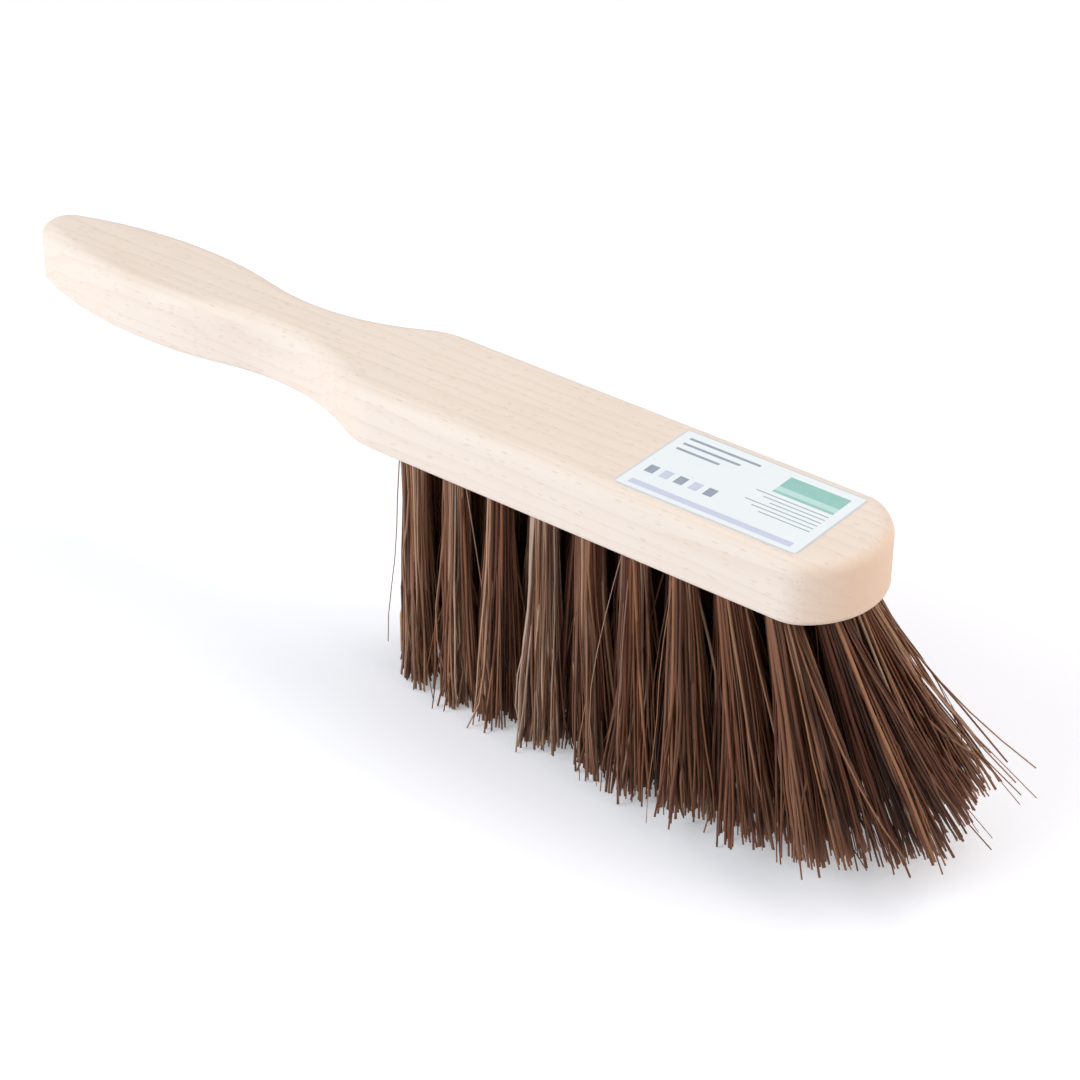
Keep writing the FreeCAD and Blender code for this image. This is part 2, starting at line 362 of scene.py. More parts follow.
@dataclass(frozen=True)
class WoodFinish:
    """Sanded, unvarnished pale hardwood, with its grain along X.

    The shares say how much of each mark shows. A step is the range of its noise over which a mark comes up.
    """

    early: Colour = (0.895, 0.760, 0.662)
    late: Colour = (0.790, 0.622, 0.500)
    fleck: Colour = (0.60, 0.43, 0.30)
    # The end colour is end grain, and also painted shade on the toe and its rounded corners.
    end_grain_and_shade_colour: Colour = (0.89, 0.600, 0.405)
    ring_width: float = 0.0034
    ring_turn: Pair = (0.78, 0.62)
    ring_power: float = 3.0
    ring_share: float = 0.40
    wander_length: float = 0.20
    wander_width: float = 0.012
    wander_rings: float = 3.4
    line_length: float = 0.03
    line_width: float = 0.0006
    line_step: Pair = (0.52, 0.78)
    line_share: float = 0.28
    fleck_length: float = 0.0042
    fleck_width: float = 0.0008
    fleck_step: Pair = (0.34, 0.16)
    fleck_pick: Pair = (0.45, 0.75)
    fleck_share: float = 0.34
    fleck_depth: float = 0.4
    cloud_size: float = 0.035
    cloud_step: Pair = (0.45, 0.75)
    cloud_share: float = 0.22
    end_power: float = 1.7
    end_share: float = 0.75
    roughness: Pair = (0.52, 0.68)
    bump_depth: float = 0.00012
    bump_strength: float = 0.35

    def material(self, effects: SharedEffects) -> bpy.types.Material:
        """Dress the stock.

        Rings are planes across the grain whose place wanders slowly along it: the share of a ring passed,
        to a power, is its late wood. Fine lines, flecks and clouds lie over them. Faces across the grain
        are warmer and darker: end grain, and also painted shade on the toe and its rounded corners.

        Args:
            effects: The shared node groups.

        Returns:
            The material.
        """
        material, recipe = new_material("pale_wood")
        place = recipe.object_place()
        late_wood = self._late_wood(recipe, effects, place)
        colour = recipe.tint(self.early, self.late, late_wood, self.ring_share)

        fibres = recipe.group(effects.long_streaks, place, self.line_length, self.line_width)
        lines = recipe.rise(fibres, *self.line_step)
        colour = recipe.tint(colour, self.late, lines, self.line_share)

        flecks = self._flecks(recipe, place)
        colour = recipe.tint(colour, self.fleck, flecks, self.fleck_share)

        mottle = recipe.group(effects.fine_mottle, place, self.cloud_size)
        clouds = recipe.rise(mottle, *self.cloud_step)
        colour = recipe.tint(colour, self.late, clouds, self.cloud_share)

        # Painted shade: faces turned along X take the warmer, darker end colour, as end grain and as shade
        # on the toe's corners.
        along = recipe.split(recipe.add("ShaderNodeTexCoord").outputs["Normal"])[0]
        end_grain_and_shade = recipe.calc("POWER", recipe.calc("ABSOLUTE", along), self.end_power)
        colour = recipe.tint(colour, self.end_grain_and_shade_colour, end_grain_and_shade, self.end_share)

        height = recipe.calc("SUBTRACT", fibres, recipe.calc("MULTIPLY", flecks, self.fleck_depth))
        shader = recipe.surface(
            Base_Color=colour,
            Roughness=recipe.span(fibres, *self.roughness),
            Normal=recipe.bump(height, self.bump_depth, self.bump_strength),
        )
        recipe.finish(shader)
        return material

    def _late_wood(self, recipe: Recipe, effects: SharedEffects, place: Socket) -> Socket:
        """Where the late wood of the rings lies.

        Args:
            recipe: The material's recipe.
            effects: The shared node groups.
            place: The place on the object.

        Returns:
            The late wood's mask.
        """
        _, y, z = recipe.split(place)
        wander = recipe.group(effects.long_streaks, place, self.wander_length, self.wander_width)
        across = recipe.calc(
            "ADD",
            recipe.calc("MULTIPLY", y, self.ring_turn[0] / self.ring_width),
            recipe.calc("MULTIPLY", z, self.ring_turn[1] / self.ring_width),
        )
        rings = recipe.calc("ADD", across, recipe.calc("MULTIPLY", wander, self.wander_rings))
        return recipe.calc("POWER", recipe.calc("FRACT", rings), self.ring_power)

    def _flecks(self, recipe: Recipe, place: Socket) -> Socket:
        """Short dark dashes along the grain: the middles of about half of the long thin cells.

        Args:
            recipe: The material's recipe.
            place: The place on the object.

        Returns:
            The dashes' mask.
        """
        drawn = recipe.divide(place, (self.fleck_length, self.fleck_width, self.fleck_width))
        cells = recipe.fill(recipe.add("ShaderNodeTexVoronoi"), Vector=drawn, Scale=1.0)
        middle = recipe.rise(cells.outputs["Distance"], *self.fleck_step)
        pick = recipe.rise(recipe.split(cells.outputs["Color"])[0], *self.fleck_pick)
        return recipe.calc("MULTIPLY", middle, pick)


@dataclass(frozen=True)
class FibreFinish:
    """Coarse stiff plant fibre, from nearly black to tan."""

    brown: Stops = (
        (0.0, (0.046, 0.0115, 0.0045)),
        (0.35, (0.125, 0.034, 0.0115)),
        (0.62, (0.228, 0.081, 0.034)),
        (0.86, (0.372, 0.178, 0.091)),
        (1.0, (0.540, 0.310, 0.180)),
    )
    ashen: Stops = (
        (0.0, (0.034, 0.013, 0.0075)),
        (0.35, (0.090, 0.036, 0.019)),
        (0.62, (0.185, 0.087, 0.050)),
        (0.86, (0.320, 0.190, 0.128)),
        (1.0, (0.460, 0.330, 0.250)),
    )
    cut_end: Colour = (0.36, 0.165, 0.085)
    cut_length: float = 0.006
    cut_share: float = 0.35
    streak_length: float = 0.02
    streak_width: float = 0.0009
    streak_shift: float = 0.16
    mottle_size: float = 0.0012
    roughness: Pair = (0.50, 0.68)
    gloss: float = 0.35
    bump_depth: float = 0.00008
    bump_strength: float = 0.4

    def material(self, effects: SharedEffects) -> bpy.types.Material:
        """Dress the fibres.

        Each fibre has one tone and one warmth. Streaks along it come from its run, its tone and its warmth
        as a place, so that no two fibres match. The last millimetres are paler.

        Args:
            effects: The shared node groups.

        Returns:
            The material.
        """
        material, recipe = new_material("coarse_fibre")
        tone = recipe.attribute("fibre_tone")
        warmth = recipe.attribute("fibre_warmth")
        place = recipe.join(recipe.attribute("fibre_run"), tone, warmth)
        streak = recipe.group(effects.long_streaks, place, self.streak_length, self.streak_width)
        shifted = recipe.total(tone, recipe.span(streak, -self.streak_shift, self.streak_shift))
        colour = recipe.mix(warmth, recipe.ramp(shifted, self.ashen), recipe.ramp(shifted, self.brown))
        tip = recipe.rise(recipe.attribute("fibre_left"), self.cut_length, 0.0)
        colour = recipe.tint(colour, self.cut_end, tip, self.cut_share)
        mottle = recipe.group(effects.fine_mottle, recipe.object_place(), self.mottle_size)
        shader = recipe.surface(
            Base_Color=colour,
            Roughness=recipe.span(streak, *self.roughness),
            Specular_IOR_Level=self.gloss,
            Normal=recipe.bump(mottle, self.bump_depth, self.bump_strength),
        )
        recipe.finish(shader)
        return material


@dataclass(frozen=True)
class Ink:
    """One printed rectangle: its colour, centre and half sizes on the label."""

    colour: Colour
    centre: Pair
    half: Pair


@dataclass(frozen=True)
class PaperFinish:
    """White coated paper, printed with plain blocks and rules."""

    paper: Colour = (0.88, 0.92, 0.94)
    worn: Colour = (0.72, 0.72, 0.76)
    # The edge colour is a painted shadow along the label's edges.
    edge: Colour = (0.50, 0.52, 0.58)
    teal: Colour = (0.22, 0.52, 0.46)
    pale_teal: Colour = (0.56, 0.78, 0.74)
    slate: Colour = (0.24, 0.28, 0.38)
    lavender: Colour = (0.58, 0.60, 0.78)
    margin: float = 0.0032
    panel: Pair = (0.0092, 0.0044)
    strip: Pair = (0.0092, 0.0011)
    strip_below: float = 0.0022
    band: Pair = (0.0250, 0.0011)
    heading_count: int = 3
    heading_half: float = 0.0112
    heading_shrink: float = 0.0022
    heading_step: float = 0.0030
    heading_width: float = 0.00050
    square_count: int = 5
    square_step: float = 0.0046
    square: Pair = (0.0014, 0.0019)
    hairline_count: int = 6
    hairline_half: float = 0.0110
    hairline_step: float = 0.0017
    hairline_width: float = 0.00019
    hairline_shrink: float = 0.0016
    hairline_cycle: int = 3
    cloud_size: float = 0.0022
    cloud_share: float = 0.10
    thread_size: float = 0.00035
    edge_width: float = 0.0005
    edge_shadow_share: float = 0.60
    cover: Pair = (0.78, 1.0)
    roughness: Pair = (0.42, 0.55)
    bump_depth: float = 0.00003
    bump_strength: float = 0.3

    def inks(self, half: Pair) -> list[Ink]:
        """What is printed: a panel with a paler strip over hairlines, headings over squares, and a band.

        Args:
            half: Half of the label's length and width.

        Returns:
            The rectangles.
        """
        heel, toe = self.margin - half[0], half[0] - self.margin
        near, far = self.margin - half[1], half[1] - self.margin
        panel_centre = (toe - self.panel[0], far - self.panel[1])
        inks = [
            Ink(self.teal, panel_centre, self.panel),
            Ink(self.pale_teal, (panel_centre[0], panel_centre[1] - self.strip_below), self.strip),
            Ink(self.lavender, (0.0, near), self.band),
        ]
        for number in range(self.heading_count):
            length = self.heading_half - self.heading_shrink * number
            centre = (heel + length, far - self.heading_width - self.heading_step * number)
            inks.append(Ink(self.slate, centre, (length, self.heading_width)))
        for number in range(self.square_count):
            colour = self.lavender if number % 2 else self.slate
            centre = (heel + self.square[0] + self.square_step * number, near / 2 + self.square[1] / 2)
            inks.append(Ink(colour, centre, self.square))
        for number in range(self.hairline_count):
            length = self.hairline_half - self.hairline_shrink * (number % self.hairline_cycle)
            below_panel = panel_centre[1] - self.panel[1] - self.hairline_step * (number + 1)
            inks.append(Ink(self.slate, (toe - length, below_panel), (length, self.hairline_width)))
        return inks

    def material(self, effects: SharedEffects, centre: Vector, half: Pair) -> bpy.types.Material:
        """Dress the label.

        Args:
            effects: The shared node groups.
            centre: The label's middle.
            half: Half of its length and width.

        Returns:
            The material.
        """
        material, recipe = new_material("printed_paper")
        mapping = recipe.add("ShaderNodeMapping", vector_type="TEXTURE")
        recipe.fill(mapping, Vector=recipe.object_place(), Location=tuple(centre))
        place = mapping.outputs[0]
        clouds = recipe.group(effects.fine_mottle, place, self.cloud_size)
        threads = recipe.group(effects.fine_mottle, place, self.thread_size)
        # Painted shadow: a thin dark line along all of the label's edges.
        inner_half = (half[0] - self.edge_width, half[1] - self.edge_width)
        inner = recipe.group(effects.printed_block, place, 0.0, 0.0, *inner_half)
        edge_shadow = recipe.calc("SUBTRACT", 1.0, inner)
        colour = recipe.tint(self.paper, self.worn, clouds, self.cloud_share)
        colour = recipe.tint(colour, self.edge, edge_shadow, self.edge_shadow_share)
        cover = recipe.span(clouds, *self.cover)
        for ink in self.inks(half):
            mask = recipe.group(effects.printed_block, place, *ink.centre, *ink.half)
            colour = recipe.tint(colour, ink.colour, mask, cover)
        shader = recipe.surface(
            Base_Color=colour,
            Roughness=recipe.span(clouds, *self.roughness),
            Normal=recipe.bump(threads, self.bump_depth, self.bump_strength),
        )
        recipe.finish(shader)
        return material


@dataclass(frozen=True)
class WireFinish:
    """Drawn flat steel wire."""

    bright: Colour = (0.60, 0.60, 0.62)
    dull: Colour = (0.36, 0.35, 0.35)
    line_length: float = 0.004
    line_width: float = 0.00015
    roughness: Pair = (0.26, 0.46)

    def material(self, effects: SharedEffects) -> bpy.types.Material:
        """Dress the anchors: bright wire with drawn lines.

        Args:
            effects: The shared node groups.

        Returns:
            The material.
        """
        material, recipe = new_material("drawn_wire")
        place = recipe.object_place()
        lines = recipe.group(effects.long_streaks, place, self.line_length, self.line_width)
        shader = recipe.surface(
            Base_Color=recipe.mix(lines, self.bright, self.dull),
            Metallic=1.0,
            Roughness=recipe.span(lines, *self.roughness),
        )
        recipe.finish(shader)
        return material


@dataclass(frozen=True)
class FloorFinish:
    """A plain white table that fades into the white room."""

    colour: Colour = (0.90, 0.895, 0.95)
    roughness: float = 0.9
    glow: float = 0.28
    fade: Pair = (0.35, 0.90)

    def material(self) -> bpy.types.Material:
        """Dress the floor.

        It takes the shadow, and a little white is added where it is seen. Past the fade it is all white,
        and from below it is clear.

        Returns:
            The material.
        """
        material, recipe = new_material("white_table")
        seen = seen_rays(recipe)
        matt = recipe.surface(Base_Color=self.colour, Roughness=self.roughness)
        glow = recipe.light(recipe.calc("MULTIPLY", seen, self.glow))
        table = recipe.fill(recipe.add("ShaderNodeAddShader"), matt, glow).outputs[0]
        place = recipe.object_place()
        distance = recipe.fill(recipe.add("ShaderNodeVectorMath", operation="LENGTH"), place)
        far = recipe.calc("MULTIPLY", seen, recipe.rise(distance.outputs["Value"], *self.fade))
        faded = recipe.blend(far, table, recipe.light(1.0))
        below = recipe.add("ShaderNodeNewGeometry").outputs["Backfacing"]
        clear = recipe.add("ShaderNodeBsdfTransparent").outputs[0]
        recipe.finish(recipe.blend(below, faded, clear))
        return material


def new_object(name: str, data: bpy.types.ID) -> bpy.types.Object:
    """Put a mesh, a lamp or a camera in the scene.

    Args:
        name: The object's name.
        data: What it holds.

    Returns:
        The object.
    """
    item = bpy.data.objects.new(name, data)
    bpy.context.scene.collection.objects.link(item)
    return item


def bearing(azimuth: float, elevation: float) -> Vector:
    """The way to a place round the broom: azimuth 0 is the right side, -Y, and 90 is the toe, +X."""
    turn, tilt = math.radians(azimuth), math.radians(elevation)
    return Vector((math.sin(turn) * math.cos(tilt), -math.cos(turn) * math.cos(tilt), math.sin(tilt)))


def seen_rays(recipe: Recipe) -> Socket:
    """Which rays see the backdrop itself: those of the camera, of gloss and of glass.

    Args:
        recipe: The recipe to add to.

    Returns:
        A mask's socket.
    """
    path = recipe.add("ShaderNodeLightPath")
    seen = recipe.total(path.outputs["Is Camera Ray"], path.outputs["Is Glossy Ray"])
    return recipe.total(seen, path.outputs["Is Transmission Ray"])


@dataclass(frozen=True)
class Spread:
    """How far random numbers stray: for a whole tuft, for a clump in it and for a single fibre."""

    tuft: float
    clump: float
    fibre: float

    def draw(self, rng: np.random.Generator, clump: np.ndarray, columns: int) -> np.ndarray:
        """Draw numbers for each fibre: its tuft's, its clump's and its own one, added.

        Args:
            rng: The random numbers.
            clump: Each fibre's clump.
            columns: How many numbers a fibre gets.

        Returns:
            Numbers as fibres by columns.
        """
        whole = rng.normal(scale=self.tuft, size=columns)
        shared = rng.normal(scale=self.clump, size=(clump.max() + 1, columns))
        return whole + shared[clump] + rng.normal(scale=self.fibre, size=(len(clump), columns))


@dataclass(frozen=True)
class FibreShape:
    """Sizes and random spreads of the single fibres in a tuft.

    A fibre starts inside its hole and goes the pull's share of the way to the middle of its clump, and
    crowding above 1 draws the tips to the middle of the tuft. The shortfall comes off every length.
    Strays are thinner and stand out of the tuft, long ones reach past the cut and kinked ones wave more.
    """

    count: int = 120
    clumps: int = 14
    sides: int = 5
    rings: int = 9
    radius: float = 0.00036
    radius_spread: float = 0.28
    stray_thickness: float = 0.60
    taper: float = 0.25
    start_inside: float = 0.004
    pull: float = 0.60
    crowding: float = 1.20
    scatter: Spread = Spread(0.0020, 0.0016, 0.0008)
    bow: Spread = Spread(0.0010, 0.0014, 0.0020)
    ragged: Spread = Spread(0.0008, 0.0007, 0.0011)
    shortfall: float = 0.0006
    wave: float = 0.00060
    wave_spread: float = 0.4
    wave_turns: Pair = (0.6, 1.9)
    kink_share: float = 0.09
    kink: float = 4.0
    stray_share: float = 0.03
    stray_reach: float = 0.0055
    stray_bulge: float = 0.0025
    long_share: float = 0.02
    long_extra: float = 0.0045
    floor_slip: float = 0.4
    tone: Spread = Spread(0.14, 0.18, 0.18)
    warmth_middle: float = 0.64
    warmth: Spread = Spread(0.05, 0.12, 0.28)


@dataclass(frozen=True)
class Row:
    """A row of tufts: its distance from the middle, that of the row beside it, and where it starts."""

    side: Side
    rank: Rank
    away: float
    beside: float
    first: float
    count: int


@dataclass(frozen=True)
class Tuft:
    """One bundle of fibres: the CAD node that it replaces, where it leaves the wood and how it spreads.

    The halves are how far the tips spread from the middle one, towards the toe, the heel, the outside and
    the inside of the broom. A looseness of 1 lets the fibres stray as far as their shape says, and a
    clumping of 1 pulls them to their clumps as far as it says. The tone is the middle of theirs.
    """

    node: str
    side: Side
    mouth: np.ndarray
    direction: np.ndarray
    reach: float
    toe_half: float
    heel_half: float
    outer_half: float
    inner_half: float
    looseness: float
    clumping: float
    tone: float
    at_toe: bool

    def axes(self) -> tuple[np.ndarray, np.ndarray]:
        """Two directions square to the tuft, the first one towards the toe and the second one outwards.

        Returns:
            The two unit vectors.
        """
        toe = np.array((1.0, 0.0, 0.0))
        forward = toe - self.direction * (toe @ self.direction)
        forward /= np.linalg.norm(forward)
        return forward, self.side.value * np.cross(forward, self.direction)

    def tips(self, disc: np.ndarray) -> np.ndarray:
        """Carry spots of a unit disc over to the uneven oval of the tips.

        Args:
            disc: Spots as fibres by two.

        Returns:
            Places on the tuft's two axes.
        """
        ahead = np.where(disc[:, 0] > 0, self.toe_half, self.heel_half)
        beside = np.where(disc[:, 1] > 0, self.outer_half, self.inner_half)
        return disc * np.stack((ahead, beside), axis=1)


@dataclass(frozen=True)
class Strands:
    """The fibres of a tuft before they get their skin.

    Points are fibres by rings by three. Each ring has its share of the way, and each fibre its clump and
    its thickness.
    """

    points: np.ndarray
    share: np.ndarray
    clump: np.ndarray
    radius: np.ndarray


def sunflower(count: int, turn: float) -> np.ndarray:
    """Spots all over a unit disc: spot k lies k golden angles round, at the root of its share of the count.

    Args:
        count: How many spots.
        turn: The angle of the first one.

    Returns:
        Spots as count by two.
    """
    order = np.arange(count)
    distance = np.sqrt((order + 0.5) / count)
    angle = turn + order * GOLDEN_ANGLE
    return distance[:, None] * np.stack((np.cos(angle), np.sin(angle)), axis=1)


@dataclass(frozen=True)
class Bristles:
    """All the tufts of the broom, in two outer and two staggered inner rows."""

    nose: np.ndarray
    height: float
    shape: FibreShape
    outer_count: int = 9
    pitch: float = 0.0150
    first_outer: float = 0.0190
    outer_row: float = 0.0145
    inner_row: float = 0.0056
    hole_radius: float = 0.00345
    tip_radius: float = 0.0070
    outer_toe_radius: float = 0.0110
    row_overlap: float = 0.64
    toe_overlap: float = 0.56
    side_overlap: float = 1.50
    fibre_length: float = 0.0725
    toe_trim: float = 0.0160
    trim_length: float = 0.024
    inner_trim: float = 0.30
    toe_lean: float = 43.0
    fan_length: float = 0.034
    side_lean: float = 3.2
    toe_splay: float = 14.0
    splay_length: float = 0.036
    heel_run: float = 0.110
    heel_looseness: float = 0.48
    toe_stray_count: int = 3
    toe_stray_reach: Pair = (0.004, 0.019)
    # Painted shade and light: tufts are darker at the toe and paler at the heel.
    toe_tone: float = 0.42
    heel_tone: float = 0.64
    inner_shade: float = 0.20

    def rows(self) -> list[Row]:
        """The rows: an inner one starts half a step before an outer one and ends half a step after it.

        Returns:
            The four rows.
        """
        first_inner = self.first_outer - self.pitch / 2
        outer = (Rank.OUTER, self.outer_row, self.inner_row, self.first_outer, self.outer_count)
        inner = (Rank.INNER, self.inner_row, self.outer_row, first_inner, self.outer_count + 1)
        return [Row(side, *sizes) for side in Side for sizes in (outer, inner)]

    def tufts(self) -> list[Tuft]:
        """Every tuft in its place, row by row from the toe."""
        return [self._tuft(row, number) for row in self.rows() for number in range(row.count)]

    def _aim(self, away: float, from_toe: float) -> tuple[np.ndarray, np.ndarray, float]:
        """Where a hole's mouth is, which way its tuft points and how long it is.

        The lean towards the toe, the splay outwards and the trimming each fall off with the distance from
        the toe, as a power of e. The lean outwards goes with the looseness.

        Args:
            away: The row's place on Y.
            from_toe: The hole's distance from the toe.

        Returns:
            The mouth, the unit direction and the length.
        """
        outwards = away / self.outer_row
        forward = math.radians(self.toe_lean * math.exp(-from_toe / self.fan_length))
        splay = self.toe_splay * math.exp(-from_toe / self.splay_length)
        outward = math.radians((self.side_lean * self._looseness(from_toe) + splay) * outwards)
        direction = np.array((math.tan(forward), math.tan(outward), -1.0))
        direction /= np.linalg.norm(direction)
        trim = self.toe_trim * math.exp(-from_toe / self.trim_length)
        trim *= self.inner_trim if abs(outwards) < 1 else 1.0
        reach = min(self.fibre_length - trim, self.height / -direction[2])
        return self.nose + np.array((-from_toe, away, 0.0)), direction, reach

    def _tip(self, away: float, from_toe: float) -> np.ndarray:
        """The middle of a tuft's tips."""
        mouth, direction, reach = self._aim(away, from_toe)
        return mouth + direction * reach

    def _field(self) -> float:
        """How far the last hole is from the toe."""
        return self.first_outer + (self.outer_count - 0.5) * self.pitch

    def _looseness(self, from_toe: float) -> float:
        """How far a tuft may spread: less and less over the last ones, whose heel edge is upright."""
        share = min(1.0, (self._field() - from_toe) / self.heel_run)
        return self.heel_looseness + (1 - self.heel_looseness) * share

    def _behind(self, from_toe: float) -> float:
        """How far behind the fan a place is, from 0 at the toe towards 1."""
        return 1 - math.exp(-from_toe / self.fan_length)

    def _tone_with_painted_shade(self, from_toe: float, outer: bool) -> float:
        """The middle of a tuft's tones: dark at the toe, pale at the heel, darker inside behind the fan."""
        # Painted shade: the tone falls towards the toe, and inner rows behind the fan are darker to stand
        # for the shade in the gaps.
        tone = self.toe_tone + (self.heel_tone - self.toe_tone) * from_toe / self._field()
        return tone if outer else tone - self.inner_shade * self._behind(from_toe)

    def _tuft(self, row: Row, number: int) -> Tuft:
        """One tuft, whose tips reach about half way to those of its neighbours.

        Args:
            row: Its row.
            number: Its number in the row, from 0.

        Returns:
            The tuft.
        """
        outer = row.rank is Rank.OUTER
        from_toe = row.first + number * self.pitch
        mouth, direction, reach = self._aim(row.side.value * row.away, from_toe)
        tip = self._tip(row.away, from_toe)
        overlap = self.row_overlap + self.toe_overlap * math.exp(-from_toe / self.fan_length)
        to_toe = overlap * np.linalg.norm(self._tip(row.away, from_toe - self.pitch) - tip) / 2
        to_heel = overlap * np.linalg.norm(self._tip(row.away, from_toe + self.pitch) - tip) / 2
        to_other = abs(self._tip(row.beside, from_toe)[1] - tip[1]) / 2
        looseness = self._looseness(from_toe)
        is_last = number == row.count - 1
        foremost_half = self.outer_toe_radius if outer else self.tip_radius
        return Tuft(
            node=f"tuft_{row.side.name.lower()}_{row.rank.value}_{number + 1}",
            side=row.side,
            mouth=mouth,
            direction=direction,
            reach=reach,
            toe_half=to_toe if number else foremost_half,
            heel_half=self.hole_radius if is_last else to_heel,
            outer_half=self.tip_radius * looseness if outer else self.side_overlap * to_other,
            inner_half=self.side_overlap * (to_other if outer else tip[1]),
            looseness=looseness,
            clumping=self._behind(from_toe),
            tone=self._tone_with_painted_shade(from_toe, outer),
            at_toe=number == 0,
        )

    def strands(self, tuft: Tuft, rng: np.random.Generator) -> Strands:
        """Lay out the fibres of a tuft.

        Fibre k starts at spot k of a sunflower disc in the hole. At its share s of the way it has moved by
        its length times s along the tuft, by its own flare and scatter times s, by its own bow times s
        squared, by a bulge that is a half wave over the whole length, and by two waves that grow with s.
        What would go under the floor slips outwards along it.

        Args:
            tuft: The tuft.
            rng: Its random numbers.

        Returns:
            The fibres.
        """
        shape = self.shape
        count = shape.count
        disc = sunflower(count, rng.uniform(0, math.tau))
        middles = sunflower(shape.clumps, rng.uniform(0, math.tau))
        clump = np.argmin(np.linalg.norm(disc[:, None] - middles, axis=2), axis=1)
        spot = disc + tuft.clumping * shape.pull * (middles[clump] - disc)
        spot *= np.linalg.norm(spot, axis=1, keepdims=True) ** (shape.crowding - 1)

        lengths = tuft.reach - shape.shortfall + shape.ragged.draw(rng, clump, 1)[:, 0]
        lengths += np.where(rng.random(count) < shape.long_share, shape.long_extra, 0.0)
        flare = tuft.tips(spot) - disc * self.hole_radius
        flare += tuft.looseness * shape.scatter.draw(rng, clump, 2)
        bow = tuft.looseness * shape.bow.draw(rng, clump, 2)
        stray = rng.random(count) < shape.stray_share
        flare += np.where(stray, shape.stray_reach, 0.0)[:, None] * disc
        bulge = np.where(stray, shape.stray_bulge, 0.0)[:, None] * rng.normal(size=(count, 2))
        kinked = np.where(rng.random(count) < shape.kink_share, shape.kink, 1.0)
        if tuft.at_toe:
            foremost = np.argsort(-disc[:, 0])[: self.toe_stray_count]
            bow[foremost, 0] += rng.uniform(*self.toe_stray_reach, len(foremost))
            bulge[foremost] = 0.0
            stray[foremost] = True
            kinked[foremost] = 1.0
        wave = shape.wave * kinked[:, None] * rng.normal(1.0, shape.wave_spread, size=(count, 2))
        turns = rng.uniform(*shape.wave_turns, size=(count, 2))
        start = rng.uniform(0, math.tau, size=(count, 2))

        share = np.linspace(0.0, 1.0, shape.rings - 1)
        along = share[:, None]
        swing = np.sin(math.tau * turns[:, None] * along + start[:, None])
        offset = disc[:, None] * self.hole_radius + flare[:, None] * along + bow[:, None] * along**2
        offset = offset + bulge[:, None] * np.sin(math.pi * along) + wave[:, None] * swing * along

        ahead, beside = tuft.axes()
        points = tuft.mouth + lengths[:, None, None] * along * tuft.direction
        points = points + offset[..., :1] * ahead + offset[..., 1:] * beside
        under = np.maximum(shape.radius - points[..., 2], 0.0)
        outwards = np.sign(disc) * np.array((1.0, tuft.side.value))
        points[..., 2] += under
        points[..., :2] += shape.floor_slip * under[..., None] * outwards[:, None]

        hidden = points[:, :1] - shape.start_inside * tuft.direction
        radius = shape.radius * np.exp(rng.normal(scale=shape.radius_spread, size=count))
        return Strands(
            points=np.concatenate((hidden, points), axis=1),
            share=np.concatenate(((0.0,), share)),
            clump=clump,
            radius=radius * np.where(stray, shape.stray_thickness, 1.0),
        )

    def build(self, tuft: Tuft, seed: int, material: bpy.types.Material) -> bpy.types.Object:
        """Build one tuft and put it in place of its CAD node.

        Args:
            tuft: The tuft.
            seed: The seed of its random numbers.
            material: The fibres' finish.

        Returns:
            The new piece.
        """
        shape = self.shape
        rng = np.random.default_rng(seed)
        strands = self.strands(tuft, rng)
        radii = strands.radius[:, None] * (1 - shape.taper * strands.share)
        mesh = tube_mesh(tuft.node.replace("tuft", "fibres"), strands.points, radii, shape.sides)

        tone = np.clip(tuft.tone + shape.tone.draw(rng, strands.clump, 1), 0, 1)
        warmth = np.clip(shape.warmth_middle + shape.warmth.draw(rng, strands.clump, 1), 0, 1)
        steps = np.linalg.norm(np.diff(strands.points, axis=1), axis=2)
        run = np.concatenate((np.zeros((shape.count, 1)), np.cumsum(steps, axis=1)), axis=1)
        numbers = {
            "fibre_tone": np.broadcast_to(tone, run.shape),
            "fibre_warmth": np.broadcast_to(warmth, run.shape),
            "fibre_run": run,
            "fibre_left": run[:, -1:] - run,
        }
        for name, values in numbers.items():
            attribute = mesh.attributes.new(name, "FLOAT", "POINT")
            attribute.data.foreach_set("value", np.repeat(values, shape.sides).astype(np.float32))

        mesh.materials.append(material)
        piece = new_object(mesh.name, mesh)
        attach(piece, "root")
        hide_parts(tuft.node)
        return piece


